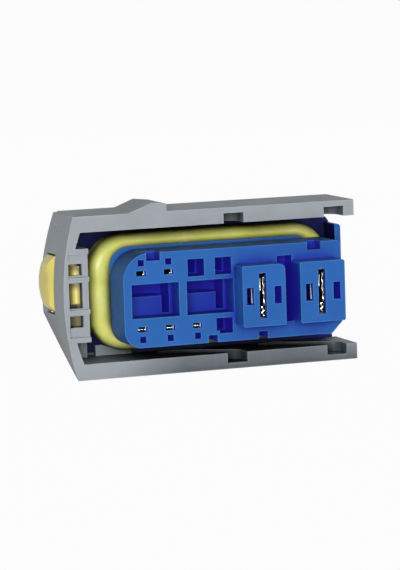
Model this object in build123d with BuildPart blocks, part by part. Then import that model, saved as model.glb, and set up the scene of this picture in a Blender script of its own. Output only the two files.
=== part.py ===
"""Sealed hybrid automotive connector, female half, with a slide lock.

X runs along the slide, Y runs from the mating side to the wire side and Z is up.
The origin lies on the tower's mating face, in the middle of its width and of the slide's height.
All sizes are in millimetres.
"""

import os

from build123d import *

os.makedirs("parts", exist_ok=True)

# Contact grid
column_pitch = 5.0
column_margin = 3.25
upper_row_z = 4.0
lower_row_z = -5.7
power_pitch = 11.0
power_margin = 5.3
power_row_z = -0.85

# Tower, which is the front cover's outside
tower_width = 40.3
tower_rise = 7.5
tower_drop = 8.9
tower_depth = 7.4
cover_block_depth = 4.0
cover_wall = 1.2
upper_left_radius = 4.8
lower_left_radius = 3.0
upper_right_radius = 1.0
lower_right_chamfer = 2.0

# Openings in the mating face
window_width = 8.6
window_top_z = 2.1
window_bottom_z = -3.8
window_step_width = 6.7
window_step_height = 3.3
key_window_width = 3.0
key_window_height = 3.0
key_window_z = 4.4
blank_window_height = 2.7
blank_window_z = -6.05
blank_step_width = 0.6
blank_step_height = 0.5
pin_slit_width = 1.7
pin_slit_height = 0.9
probe_hole_size = 1.1
probe_hole_offset = 1.8
pin_face_wall = 0.9
top_notch_width = 2.5
top_notch_height = 1.4
top_notch_depth = 2.6
top_notch_left_x = -14.65
top_notch_right_x = 15.1
bottom_notch_width = 1.7
bottom_notch_height = 1.3
bottom_notch_left_x = -4.1
bottom_notch_right_x = 5.2

# Power chambers, which stand out of the face
chamber_projection = 4.0
chamber_height = 10.7
chamber_left_reaches = (3.7, 4.0)
chamber_right_reaches = (4.25, 4.35)
chamber_corner = 0.4
chamber_wide_corner = 1.1
blade_slit_width = 1.3
blade_slit_height = 7.9
chamber_face_wall = 0.7
release_window_width = 1.3
release_window_height = 3.0
release_window_depth = 3.2
release_window_left = 2.35
release_window_right = 2.8
chamber_gap_top_z = 5.45
chamber_gap_depth = 3.2

# Housing
core_centre_x = -1.3
core_width = 37.6
core_height = 16.0
core_radius = 3.4
flange_front_y = 13.2
flange_depth = 4.0
flange_left_x = -24.9
flange_right_x = 23.45
flange_height = 21.8
flange_radius = 2.2
end_wall_front_y = 8.0
end_wall_thickness = 1.1
end_wall_top_z = 9.5
end_wall_bottom_z = -7.6
end_wall_round = 0.6
rear_inset = 2.6
rail_height = 1.5
rail_width = 1.6
rail_left_x = -21.5
nose_inset = 0.1
pocket_inset = 0.25
pocket_side_inset = 0.5
pocket_depth = 4.5

# Perimeter seal
seal_end_thickness = 3.75
seal_side_thickness = 2.4
seal_lip_chamfer = 0.9
seal_groove_width = 1.2
seal_groove_depth = 0.6

# Slide
arm_thickness = 2.8
arm_front_y = 3.0
arm_depth = 13.0
slide_right_x = 24.05
slide_left_x = -27.9
end_bulge = 2.1
end_thickness = 1.2
end_cut_top_z = -3.3
end_cut_reach = 4.4
end_slant_depth = 1.6
end_slant_low_z = 6.0
end_hole_radius = 0.4
end_hole_y = 11.4
end_hole_drop = 2.2
corner_web_gap = 0.5
corner_web_depth = 1.5
corner_web_reach = 1.3
peg_spacing = 18.8
peg_middle_x = 0.3
peg_groove_width = 3.7
peg_groove_depth = 1.76
peg_entry_depth = 2.6
peg_rest_depth = 7.2
peg_dwell = 1.9
slide_travel = 10.5
box_right_x = -25.3
box_top_z = 8.6
box_bottom_z = -7.6
box_front_wall = 0.8
box_side_wall = 1.1
box_panel_depth = 0.6
box_shelf_height = 0.9
box_rib_offset = 2.8
box_rib_height = 0.8
box_window_width = 2.6
box_window_middle_z = 0.5
box_window_pitch = 4.5
box_middle_window_height = 4.4
box_outer_window_height = 2.0
grip_left_x = -17.9
grip_ramp = 4.2
grip_length = 7.0
grip_height = 1.6
grip_end_height = 1.3
grip_depth = 10.0

# Position lock in the slide's end
lock_travel = 1.2
lock_width = 2.0
lock_height = 10.6
lock_front_gap = 0.4
lock_round = 0.95
button_front_y = 9.1
button_depth = 4.8
button_height = 9.9
button_middle_z = 2.05

# Contacts
signal_box_size = 1.9
signal_box_length = 7.5
signal_sheet = 0.2
tongue_length = 5.2
tongue_width = 1.2
tongue_bow = 0.6
signal_neck_width = 1.3
signal_neck_length = 2.0
signal_barrel_radius = 1.1
signal_barrel_length = 4.5
signal_wire_radius = 0.55
power_box_width = 2.7
power_box_height = 8.2
power_box_length = 10.0
power_sheet = 0.3
sleeve_sheet = 0.25
leaf_count = 5
leaf_height = 1.1
leaf_pitch = 1.4
leaf_thickness = 0.2
leaf_length = 6.0
blade_gap = 0.7
power_neck_length = 2.0
power_barrel_radius = 2.4
power_barrel_length = 5.0
power_wire_radius = 1.6

# Wire seals and rear cover
signal_seal_radius = 1.85
signal_seal_bore = 0.8
power_seal_radius = 3.9
power_seal_bore = 1.9
wire_seal_length = 6.4
wire_seal_tail_length = 0.8
rear_cover_thickness = 2.6
rear_cover_inset = 0.8
rear_cover_chamfer = 0.5
wire_exit_margin = 0.4

# Running and seating clearances
seat_gap = 0.1
curve_gap = 0.05
slide_gap = 0.3
rail_gap = 0.25
arm_gap = 0.5

tower_left_x = -tower_width / 2
tower_right_x = tower_width / 2
column_x = [tower_left_x + column_margin + index * column_pitch for index in range(4)]
signal_places = [
    (column_x[0], upper_row_z, 1),
    (column_x[1], upper_row_z, 1),
    (column_x[0], lower_row_z, -1),
    (column_x[1], lower_row_z, -1),
    (column_x[2], lower_row_z, -1),
]
power_x = [tower_right_x - power_margin - power_pitch, tower_right_x - power_margin]
window_centres_x = [(column_x[0] + column_x[1]) / 2, (column_x[2] + column_x[3]) / 2]
window_height = window_top_z - window_bottom_z
window_middle_z = (window_top_z + window_bottom_z) / 2
chamber_widths = [left + right for left, right in zip(chamber_left_reaches, chamber_right_reaches)]
chamber_middles_x = [
    x + (right - left) / 2
    for x, left, right in zip(power_x, chamber_left_reaches, chamber_right_reaches)
]
chamber_gap_left_x = power_x[0] + chamber_right_reaches[0]
chamber_gap_right_x = power_x[1] - chamber_left_reaches[1]
nose_front_y = cover_block_depth + seat_gap
land_front_y = tower_depth + seat_gap
seal_length = flange_front_y - land_front_y
rear_front_y = flange_front_y + flange_depth
flange_width = flange_right_x - flange_left_x
flange_middle_x = (flange_left_x + flange_right_x) / 2
signal_front_y = pin_face_wall + seat_gap
power_front_y = chamber_face_wall - chamber_projection + seat_gap
signal_back_y = signal_front_y + signal_box_length + signal_neck_length + signal_barrel_length
seal_front_y = rear_front_y + seat_gap
seal_bore_depth = wire_seal_length + 2 * seat_gap
signal_channel = signal_box_size + 2 * seat_gap
power_channel_width = power_box_width + 2 * (sleeve_sheet + seat_gap)
power_channel_height = power_box_height + 2 * (sleeve_sheet + seat_gap)
arm_inner_z = flange_height / 2 + arm_gap
arm_outer_z = arm_inner_z + arm_thickness
arm_back_y = arm_front_y + arm_depth
end_hole_z = arm_outer_z - end_hole_drop
corner_web_front_y = flange_front_y - corner_web_gap - corner_web_depth
corner_web_right_x = flange_left_x + corner_web_reach
open_pegs_x = [
    peg_middle_x - peg_spacing / 2 + slide_travel,
    peg_middle_x + peg_spacing / 2 + slide_travel,
]
box_inner_x = box_right_x - box_side_wall
lock_space_front_y = arm_front_y + box_panel_depth + box_front_wall


def upright(y):
    """Upright plane at depth y, with X to the right and Z up."""
    return Plane.XZ.offset(-y)


def corner(sketch_builder, side, level):
    """One corner of the sketch: side and level are 0 for left and low, -1 for right and high."""
    return sketch_builder.vertices().group_by(Axis.X)[side].sort_by(Axis.Y)[level]


# The housing carries everything: a nose inside the front cover, a land for the perimeter seal
# and a flange with the slide's two rails, all crossed by the contacts' channels.
with BuildPart() as housing:
    with BuildSketch(upright(land_front_y)):
        with Locations((core_centre_x, 0)):
            RectangleRounded(core_width, core_height, core_radius)
    extrude(amount=-seal_length)
    nose_left_x = tower_left_x + cover_wall + nose_inset
    nose_right_x = core_centre_x + core_width / 2 - nose_inset
    nose_top_z = tower_rise - cover_wall - nose_inset
    nose_bottom_z = -tower_drop + cover_wall + nose_inset
    with BuildSketch(upright(nose_front_y)) as nose:
        with Locations(((nose_left_x + nose_right_x) / 2, (nose_top_z + nose_bottom_z) / 2)):
            Rectangle(nose_right_x - nose_left_x, nose_top_z - nose_bottom_z)
        fillet(corner(nose, 0, -1), upper_left_radius - cover_wall)
        fillet(corner(nose, 0, 0), lower_left_radius - cover_wall)
    extrude(amount=-(land_front_y - nose_front_y))
    with BuildSketch(upright(flange_front_y)):
        with Locations((flange_middle_x, 0)):
            RectangleRounded(flange_width, flange_height, flange_radius)
    extrude(amount=-flange_depth)
    with BuildSketch(upright(end_wall_front_y)) as end_wall:
        with Locations(
            (flange_right_x - end_wall_thickness / 2, (end_wall_top_z + end_wall_bottom_z) / 2)
        ):
            Rectangle(end_wall_thickness, end_wall_top_z - end_wall_bottom_z)
        fillet([corner(end_wall, -1, 0), corner(end_wall, -1, -1)], end_wall_round)
    extrude(amount=-(flange_front_y - end_wall_front_y))
    # Rails for the slide, above and below the flange
    with BuildSketch(upright(flange_front_y)):
        with Locations(
            ((rail_left_x + flange_right_x) / 2, flange_height / 2 + rail_height / 2),
            ((rail_left_x + flange_right_x) / 2, -flange_height / 2 - rail_height / 2),
        ):
            Rectangle(flange_right_x - rail_left_x, rail_height)
    extrude(amount=-rail_width)
    # Stepped pockets behind the two large windows and plain ones behind the small windows
    with BuildSketch(upright(nose_front_y)) as pockets:
        for x in window_centres_x:
            with Locations((x, window_middle_z)):
                Rectangle(
                    window_width - 2 * pocket_side_inset, window_height - 2 * pocket_inset
                )
            with Locations(
                (
                    x - window_width / 2 + window_step_width / 2,
                    window_bottom_z + window_step_height / 2,
                )
            ):
                Rectangle(window_step_width, window_step_height, mode=Mode.SUBTRACT)
        with Locations((column_x[2], key_window_z), (column_x[3], key_window_z)):
            Rectangle(
                key_window_width - 2 * pocket_inset, key_window_height - 2 * pocket_inset
            )
        with Locations((column_x[3], blank_window_z)):
            Rectangle(
                key_window_width - 2 * pocket_inset, blank_window_height - 2 * pocket_inset
            )
    extrude(amount=-pocket_depth, mode=Mode.SUBTRACT)
    # Channels for the contacts, round behind their boxes
    with BuildSketch(upright(nose_front_y)):
        for x, z, _ in signal_places:
            with Locations((x, z)):
                Rectangle(signal_channel, signal_channel)
    extrude(amount=-(signal_back_y - nose_front_y), mode=Mode.SUBTRACT)
    with BuildSketch(upright(signal_front_y + signal_box_length)):
        for x, z, _ in signal_places:
            with Locations((x, z)):
                Circle(signal_barrel_radius + seat_gap)
    extrude(
        amount=-(rear_front_y - signal_front_y - signal_box_length), mode=Mode.SUBTRACT
    )
    with BuildSketch(upright(nose_front_y)):
        with Locations((power_x[0], power_row_z), (power_x[1], power_row_z)):
            Rectangle(power_channel_width, power_channel_height)
    extrude(
        amount=-(power_front_y + power_box_length + seat_gap - nose_front_y),
        mode=Mode.SUBTRACT,
    )
    with BuildSketch(upright(nose_front_y)):
        with Locations((power_x[0], power_row_z), (power_x[1], power_row_z)):
            Circle(power_barrel_radius + seat_gap)
    extrude(amount=-(rear_front_y - nose_front_y), mode=Mode.SUBTRACT)
housing.part.label = "housing"
export_step(housing.part, "parts/housing.step")

# The front cover snaps over the nose: it is the tower that enters the header, keeps the
# perimeter seal on its land and locks the contacts in their channels.
with BuildPart() as front_cover:
    with BuildSketch(upright(0)) as outline:
        with Locations((0, (tower_rise - tower_drop) / 2)):
            Rectangle(tower_width, tower_rise + tower_drop)
        fillet(corner(outline, 0, -1), upper_left_radius)
        fillet(corner(outline, 0, 0), lower_left_radius)
        fillet(corner(outline, -1, -1), upper_right_radius)
        chamfer(corner(outline, -1, 0), lower_right_chamfer)
    extrude(amount=-tower_depth)
    with BuildSketch(upright(-chamber_projection)) as chambers:
        for x, width in zip(chamber_middles_x, chamber_widths):
            with Locations((x, power_row_z)):
                Rectangle(width, chamber_height)
        fillet(corner(chambers, 1, -1), chamber_wide_corner)
        chamber_sides = chambers.vertices().group_by(Axis.X)
        fillet(chamber_sides[0] + chamber_sides[-2] + chamber_sides[-1], chamber_corner)
    extrude(amount=-(chamber_projection + cover_block_depth))
    # Hollow rear, open to the nose
    with BuildSketch(upright(cover_block_depth)) as hollow:
        with Locations((0, (tower_rise - tower_drop) / 2)):
            Rectangle(tower_width - 2 * cover_wall, tower_rise + tower_drop - 2 * cover_wall)
        fillet(corner(hollow, 0, -1), upper_left_radius - cover_wall)
        fillet(corner(hollow, 0, 0), lower_left_radius - cover_wall)
        chamfer(corner(hollow, -1, 0), lower_right_chamfer - cover_wall * (2 - 2**0.5))
    extrude(amount=-(tower_depth - cover_block_depth), mode=Mode.SUBTRACT)
    # Windows through the face
    with BuildSketch(upright(0)):
        with Locations(*[(x, window_middle_z) for x in window_centres_x]):
            Rectangle(window_width, window_height)
        with Locations((column_x[2], key_window_z), (column_x[3], key_window_z)):
            Rectangle(key_window_width, key_window_height)
        with Locations((column_x[3], blank_window_z)):
            Rectangle(key_window_width, blank_window_height)
        with Locations(
            (
                column_x[3] - (key_window_width - blank_step_width) / 2,
                blank_window_z - (blank_window_height - blank_step_height) / 2,
            )
        ):
            Rectangle(blank_step_width, blank_step_height, mode=Mode.SUBTRACT)
        for x, z, outward in signal_places:
            with Locations((x, z)):
                Rectangle(pin_slit_width, pin_slit_height)
            with Locations((x, z + outward * probe_hole_offset)):
                Rectangle(probe_hole_size, probe_hole_size)
    extrude(amount=-cover_block_depth, mode=Mode.SUBTRACT)
    # Channels for the front of each contact
    with BuildSketch(upright(pin_face_wall)):
        for x, z, _ in signal_places:
            with Locations((x, z)):
                Rectangle(signal_channel, signal_channel)
    extrude(amount=-(cover_block_depth - pin_face_wall), mode=Mode.SUBTRACT)
    with BuildSketch(upright(chamber_face_wall - chamber_projection)):
        with Locations((power_x[0], power_row_z), (power_x[1], power_row_z)):
            Rectangle(power_channel_width, power_channel_height)
    extrude(
        amount=-(chamber_projection + cover_block_depth - chamber_face_wall),
        mode=Mode.SUBTRACT,
    )
    with BuildSketch(upright(-chamber_projection)):
        with Locations((power_x[0], power_row_z), (power_x[1], power_row_z)):
            Rectangle(blade_slit_width, blade_slit_height)
    extrude(amount=-chamber_face_wall, mode=Mode.SUBTRACT)
    with BuildSketch(upright(-chamber_projection)):
        for x in power_x:
            with Locations(
                (x - release_window_left, power_row_z), (x + release_window_right, power_row_z)
            ):
                Rectangle(release_window_width, release_window_height)
    extrude(amount=-release_window_depth, mode=Mode.SUBTRACT)
    # Deep gap between the two chambers
    with BuildSketch(upright(0)):
        gap_bottom_z = power_row_z - chamber_height / 2
        with Locations(
            (
                (chamber_gap_left_x + chamber_gap_right_x) / 2,
                (chamber_gap_top_z + gap_bottom_z) / 2,
            )
        ):
            Rectangle(
                chamber_gap_right_x - chamber_gap_left_x, chamber_gap_top_z - gap_bottom_z
            )
    extrude(amount=-chamber_gap_depth, mode=Mode.SUBTRACT)
    # Keying notches in the upper and lower edges
    with BuildSketch(upright(0)):
        with Locations(
            (top_notch_left_x, tower_rise - top_notch_height / 2),
            (top_notch_right_x, tower_rise - top_notch_height / 2),
        ):
            Rectangle(top_notch_width, top_notch_height)
    extrude(amount=-top_notch_depth, mode=Mode.SUBTRACT)
    with BuildSketch(upright(0)):
        with Locations(
            (bottom_notch_left_x, -tower_drop + bottom_notch_height / 2),
            (bottom_notch_right_x, -tower_drop + bottom_notch_height / 2),
        ):
            Rectangle(bottom_notch_width, bottom_notch_height)
    extrude(amount=-cover_block_depth, mode=Mode.SUBTRACT)
front_cover.part.label = "front_cover"
export_step(front_cover.part, "parts/front_cover.step")

# The perimeter seal is a silicone ring on the housing's land, with two bevelled lips.
with BuildPart() as perimeter_seal:
    seal_width = core_width + 2 * seal_end_thickness
    seal_height = core_height + 2 * seal_side_thickness
    seal_radius = core_radius + seal_end_thickness
    with BuildSketch(upright(land_front_y)):
        with Locations((core_centre_x, 0)):
            RectangleRounded(seal_width, seal_height, seal_radius)
    extrude(amount=-seal_length)
    chamfer(perimeter_seal.faces().sort_by(Axis.Y)[0].outer_wire().edges(), seal_lip_chamfer)
    chamfer(perimeter_seal.faces().sort_by(Axis.Y)[-1].outer_wire().edges(), seal_lip_chamfer)
    with BuildSketch(upright(land_front_y + seal_length / 2 - seal_groove_width / 2)):
        with Locations((core_centre_x, 0)):
            RectangleRounded(seal_width, seal_height, seal_radius)
            RectangleRounded(
                seal_width - 2 * seal_groove_depth,
                seal_height - 2 * seal_groove_depth,
                seal_radius - seal_groove_depth,
                mode=Mode.SUBTRACT,
            )
    extrude(amount=-seal_groove_width, mode=Mode.SUBTRACT)
    with BuildSketch(upright(land_front_y)):
        with Locations((core_centre_x, 0)):
            RectangleRounded(
                core_width + 2 * curve_gap, core_height + 2 * curve_gap, core_radius + curve_gap
            )
    extrude(amount=-seal_length, mode=Mode.SUBTRACT)
perimeter_seal.part.label = "perimeter_seal"
export_step(perimeter_seal.part, "parts/perimeter_seal.step")

# The slide lock is a U round the housing. Cam grooves inside its two arms draw in the header's
# pegs, and a box in its bowed end holds the position lock.
with BuildPart() as slide:
    with BuildSketch(upright(arm_front_y)):
        with BuildLine():
            Line((slide_left_x, arm_outer_z), (slide_right_x, arm_outer_z))
            Line((slide_right_x, arm_outer_z), (slide_right_x, -arm_outer_z))
            Line((slide_right_x, -arm_outer_z), (slide_left_x, -arm_outer_z))
            ThreePointArc(
                (slide_left_x, -arm_outer_z),
                (slide_left_x - end_bulge, 0),
                (slide_left_x, arm_outer_z),
            )
        make_face()
        with BuildLine():
            inner_left_x = slide_left_x + end_thickness
            Line((inner_left_x, arm_inner_z), (slide_right_x, arm_inner_z))
            Line((slide_right_x, arm_inner_z), (slide_right_x, -arm_inner_z))
            Line((slide_right_x, -arm_inner_z), (inner_left_x, -arm_inner_z))
            ThreePointArc(
                (inner_left_x, -arm_inner_z),
                (inner_left_x - end_bulge, 0),
                (inner_left_x, arm_inner_z),
            )
        make_face(mode=Mode.SUBTRACT)
        with Locations(
            (
                (slide_left_x - end_bulge / 2 + box_right_x) / 2,
                (box_top_z + box_bottom_z) / 2,
            )
        ):
            Rectangle(box_right_x - slide_left_x + end_bulge / 2, box_top_z - box_bottom_z)
    extrude(amount=-arm_depth)
    # Cam grooves: in at the front edge, then back and to the left to where the closed slide
    # holds the header's pegs
    for side in (1, -1):
        with BuildSketch(Plane.XY.offset(side * arm_inner_z)):
            for x in open_pegs_x:
                with BuildLine():
                    Polyline(
                        (x, arm_front_y - peg_groove_width),
                        (x, arm_front_y + peg_entry_depth),
                        (x - slide_travel + peg_dwell, arm_front_y + peg_rest_depth),
                        (x - slide_travel, arm_front_y + peg_rest_depth),
                    )
                    offset(amount=peg_groove_width / 2)
                make_face()
        extrude(amount=side * peg_groove_depth, mode=Mode.SUBTRACT)
    # Rail grooves, open at the arms' right end
    with BuildSketch(upright(flange_front_y - rail_gap)):
        groove_left_x = rail_left_x - slide_gap
        groove_height = flange_height / 2 + rail_height + rail_gap - arm_inner_z
        with Locations(
            ((groove_left_x + slide_right_x) / 2, arm_inner_z + groove_height / 2),
            ((groove_left_x + slide_right_x) / 2, -arm_inner_z - groove_height / 2),
        ):
            Rectangle(slide_right_x - groove_left_x, groove_height)
    extrude(amount=-(rail_width + 2 * rail_gap), mode=Mode.SUBTRACT)
    # Panels sunk into the box's front, which leave a shelf at each end and two ribs
    lock_space_left_x = box_inner_x - lock_width - 2 * slide_gap
    box_face_middle_x = (lock_space_left_x + box_right_x) / 2
    box_face_width = box_right_x - lock_space_left_x
    with BuildSketch(upright(arm_front_y)):
        with Locations((box_face_middle_x, (box_top_z + box_bottom_z) / 2)):
            Rectangle(box_face_width, box_top_z - box_bottom_z - 2 * box_shelf_height)
        with Locations(
            (box_face_middle_x, box_window_middle_z + box_rib_offset),
            (box_face_middle_x, box_window_middle_z - box_rib_offset),
        ):
            Rectangle(box_face_width, box_rib_height, mode=Mode.SUBTRACT)
    extrude(amount=-box_panel_depth, mode=Mode.SUBTRACT)
    # Space for the position lock, open to the right and rear, with three windows in front
    with BuildSketch(upright(lock_space_front_y)):
        with Locations((box_face_middle_x, box_window_middle_z)):
            Rectangle(box_face_width, lock_height + 2 * slide_gap)
    extrude(amount=-(arm_back_y - lock_space_front_y), mode=Mode.SUBTRACT)
    with BuildSketch(upright(arm_front_y + box_panel_depth)):
        with Locations((box_inner_x - box_window_width / 2, box_window_middle_z)):
            Rectangle(box_window_width, box_middle_window_height)
        with Locations(
            (box_inner_x - box_window_width / 2, box_window_middle_z + box_window_pitch),
            (box_inner_x - box_window_width / 2, box_window_middle_z - box_window_pitch),
        ):
            Rectangle(box_window_width, box_outer_window_height)
    extrude(amount=-box_front_wall, mode=Mode.SUBTRACT)
    # Opening in the bowed end for the button
    with BuildSketch(upright(button_front_y - slide_gap)):
        with Locations((slide_left_x + (end_thickness - end_bulge) / 2, button_middle_z)):
            Rectangle(end_thickness + end_bulge, button_height + 2 * slide_gap)
    extrude(amount=-(button_depth + 2 * slide_gap), mode=Mode.SUBTRACT)
    # The bowed end's rear edge leans forward at the top
    with BuildSketch(Plane.YZ.offset(slide_left_x + end_thickness)):
        with BuildLine():
            Polyline(
                (arm_back_y, end_slant_low_z),
                (arm_back_y, arm_outer_z),
                (arm_back_y - end_slant_depth, arm_outer_z),
                close=True,
            )
        make_face()
    extrude(amount=-(end_thickness + end_bulge), mode=Mode.SUBTRACT)
    with BuildSketch(Plane.YZ.offset(slide_left_x)):
        with Locations((end_hole_y, end_hole_z)):
            Circle(end_hole_radius)
    extrude(amount=-end_bulge, mode=Mode.SUBTRACT)
    # Web between the box and the lower arm, in front of the flange
    with BuildSketch(upright(corner_web_front_y)):
        web_left_x = slide_left_x + end_thickness
        with Locations(
            ((web_left_x + corner_web_right_x) / 2, (box_bottom_z - arm_inner_z) / 2)
        ):
            Rectangle(corner_web_right_x - web_left_x, box_bottom_z + arm_inner_z)
    extrude(amount=-corner_web_depth)
    # One slanting cut takes off the end's lower rear corner, with that of the lower arm
    cut_high = Vector(slide_left_x - end_bulge, arm_back_y, end_cut_top_z)
    cut_front = Vector(slide_left_x, arm_front_y, -arm_outer_z)
    cut_rear = Vector(slide_left_x + end_cut_reach, arm_back_y, -arm_outer_z)
    cut_facing = (cut_front - cut_high).cross(cut_rear - cut_high)
    split(bisect_by=Plane(origin=cut_high, z_dir=cut_facing), keep=Keep.TOP)
    # Ramped finger grip on the upper arm
    with BuildSketch(upright(arm_front_y)):
        with BuildLine():
            Polyline(
                (grip_left_x, arm_outer_z),
                (grip_left_x + grip_ramp, arm_outer_z + grip_height),
                (grip_left_x + grip_length, arm_outer_z + grip_end_height),
                (grip_left_x + grip_length, arm_outer_z),
                close=True,
            )
        make_face()
    extrude(amount=-grip_depth)
slide.part.label = "slide"
export_step(slide.part, "parts/slide.step")

# The position lock: a body behind the box's windows and a domed button that sticks out of the
# slide's end until it is pushed in.
with BuildPart() as position_lock:
    lock_left_x = box_inner_x - slide_gap - lock_width
    lock_front_y = lock_space_front_y + lock_front_gap
    lock_back_y = button_front_y + button_depth
    with BuildSketch(upright(lock_front_y)) as body:
        with Locations((lock_left_x + lock_width / 2, box_window_middle_z)):
            Rectangle(lock_width, lock_height)
    extrude(amount=-(lock_back_y - lock_front_y))
    with BuildSketch(upright(button_front_y)):
        with BuildLine():
            button_edge_x = slide_left_x - end_bulge
            Line(
                (lock_left_x, button_middle_z - button_height / 2),
                (button_edge_x, button_middle_z - button_height / 2),
            )
            ThreePointArc(
                (button_edge_x, button_middle_z - button_height / 2),
                (button_edge_x - lock_travel, button_middle_z),
                (button_edge_x, button_middle_z + button_height / 2),
            )
            Line(
                (button_edge_x, button_middle_z + button_height / 2),
                (lock_left_x, button_middle_z + button_height / 2),
            )
            Line(
                (lock_left_x, button_middle_z + button_height / 2),
                (lock_left_x, button_middle_z - button_height / 2),
            )
        make_face()
    extrude(amount=-button_depth)
    # The button also rises from its front edge to its rear edge
    with BuildSketch(Plane.XY.offset(button_middle_z)):
        with BuildLine():
            button_tip_x = button_edge_x - lock_travel
            TangentArc(
                (button_tip_x, lock_back_y), (button_edge_x, button_front_y), tangent=(0, -1)
            )
            Line((button_edge_x, button_front_y), (button_tip_x, button_front_y))
            Line((button_tip_x, button_front_y), (button_tip_x, lock_back_y))
        make_face()
    extrude(amount=button_height, both=True, mode=Mode.SUBTRACT)
    fillet(position_lock.edges().filter_by(Axis.Z).group_by(Axis.Y)[0], lock_round)
position_lock.part.label = "position_lock"
export_step(position_lock.part, "parts/position_lock.step")

# Signal contacts: a folded square box that takes a flat pin, a flat neck and a crimped barrel
for number, (x, z, outward) in enumerate(signal_places, start=1):
    with BuildPart() as signal_contact:
        with BuildSketch(upright(signal_front_y)):
            with Locations((x, z)):
                Rectangle(signal_box_size, signal_box_size)
                Rectangle(
                    signal_box_size - 2 * signal_sheet,
                    signal_box_size - 2 * signal_sheet,
                    mode=Mode.SUBTRACT,
                )
        extrude(amount=-signal_box_length)
        # Spring tongue inside the box, bowed towards the pin
        with BuildSketch(Plane.YZ.offset(x)):
            tongue_z = z + outward * (signal_box_size - signal_sheet) / 2
            tongue_back_y = signal_front_y + tongue_length
            with BuildLine():
                ThreePointArc(
                    (signal_front_y, tongue_z),
                    ((signal_front_y + tongue_back_y) / 2, tongue_z - outward * tongue_bow),
                    (tongue_back_y, tongue_z),
                )
                ThreePointArc(
                    (tongue_back_y, tongue_z),
                    (
                        (signal_front_y + tongue_back_y) / 2,
                        tongue_z - outward * (tongue_bow - signal_sheet),
                    ),
                    (signal_front_y, tongue_z),
                )
            make_face()
        extrude(amount=tongue_width / 2, both=True)
        # Neck and crimped barrel
        with BuildSketch(upright(signal_front_y + signal_box_length)):
            with Locations((x, z - signal_box_size / 2 + signal_sheet)):
                Rectangle(signal_neck_width, 2 * signal_sheet)
        extrude(amount=-signal_neck_length)
        with BuildSketch(upright(signal_front_y + signal_box_length + signal_neck_length)):
            with Locations((x, z)):
                Circle(signal_barrel_radius)
                Circle(signal_wire_radius, mode=Mode.SUBTRACT)
        extrude(amount=-signal_barrel_length)
    signal_contact.part.label = f"signal_contact_{number}"
    export_step(signal_contact.part, f"parts/signal_contact_{number}.step")

# Power contacts: a tall box lined with sprung leaves for a wide blade, in a steel sleeve
for number, x in enumerate(power_x, start=1):
    with BuildPart() as power_contact:
        with BuildSketch(upright(power_front_y)):
            with Locations((x, power_row_z)):
                Rectangle(power_box_width, power_box_height)
                Rectangle(
                    power_box_width - 2 * power_sheet,
                    power_box_height - 2 * power_sheet,
                    mode=Mode.SUBTRACT,
                )
        extrude(amount=-power_box_length)
        for side in (1, -1):
            wall_x = x + side * (power_box_width - power_sheet) / 2
            leaf_peak_x = x + side * blade_gap / 2
            leaf_middle_y = power_front_y + leaf_length / 2
            for index in range(leaf_count):
                leaf_z = power_row_z + (index - (leaf_count - 1) / 2) * leaf_pitch
                with BuildSketch(Plane.XY.offset(leaf_z - leaf_height / 2)):
                    with BuildLine():
                        ThreePointArc(
                            (wall_x, power_front_y),
                            (leaf_peak_x, leaf_middle_y),
                            (wall_x, power_front_y + leaf_length),
                        )
                        ThreePointArc(
                            (wall_x, power_front_y + leaf_length),
                            (leaf_peak_x + side * leaf_thickness, leaf_middle_y),
                            (wall_x, power_front_y),
                        )
                    make_face()
                extrude(amount=leaf_height)
        with BuildSketch(upright(power_front_y + power_box_length)):
            with Locations((x, power_row_z)):
                Rectangle(power_box_width, power_barrel_radius + power_wire_radius)
        extrude(amount=-power_neck_length)
        with BuildSketch(upright(power_front_y + power_box_length + power_neck_length)):
            with Locations((x, power_row_z)):
                Circle(power_barrel_radius)
                Circle(power_wire_radius, mode=Mode.SUBTRACT)
        extrude(amount=-power_barrel_length)
    power_contact.part.label = f"power_contact_{number}"
    export_step(power_contact.part, f"parts/power_contact_{number}.step")

    with BuildPart() as power_sleeve:
        with BuildSketch(upright(power_front_y)):
            with Locations((x, power_row_z)):
                Rectangle(power_box_width + 2 * sleeve_sheet, power_box_height + 2 * sleeve_sheet)
                Rectangle(power_box_width, power_box_height, mode=Mode.SUBTRACT)
        extrude(amount=-power_box_length)
    power_sleeve.part.label = f"power_sleeve_{number}"
    export_step(power_sleeve.part, f"parts/power_sleeve_{number}.step")

# Wire seals: silicone plugs in the rear cover's bores, one round each wire
signal_seals = [(x, z, signal_seal_radius, signal_seal_bore) for x, z, _ in signal_places]
power_seals = [(x, power_row_z, power_seal_radius, power_seal_bore) for x in power_x]
for kind, seals in (("signal", signal_seals), ("power", power_seals)):
    for number, (x, z, radius, bore) in enumerate(seals, start=1):
        with BuildPart() as wire_seal:
            with BuildSketch(upright(seal_front_y)):
                with Locations((x, z)):
                    Circle(radius)
            extrude(amount=-wire_seal_length)
            # Tail in the rear cover's way out
            tail_front_y = seal_front_y + wire_seal_length
            tail_length = wire_seal_tail_length + seat_gap
            with BuildSketch(upright(tail_front_y)):
                with Locations((x, z)):
                    Circle(bore + wire_exit_margin - curve_gap)
            extrude(amount=-tail_length)
            with BuildSketch(upright(seal_front_y)):
                with Locations((x, z)):
                    Circle(bore)
            extrude(amount=-(wire_seal_length + tail_length), mode=Mode.SUBTRACT)
        wire_seal.part.label = f"{kind}_wire_seal_{number}"
        export_step(wire_seal.part, f"parts/{kind}_wire_seal_{number}.step")

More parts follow.
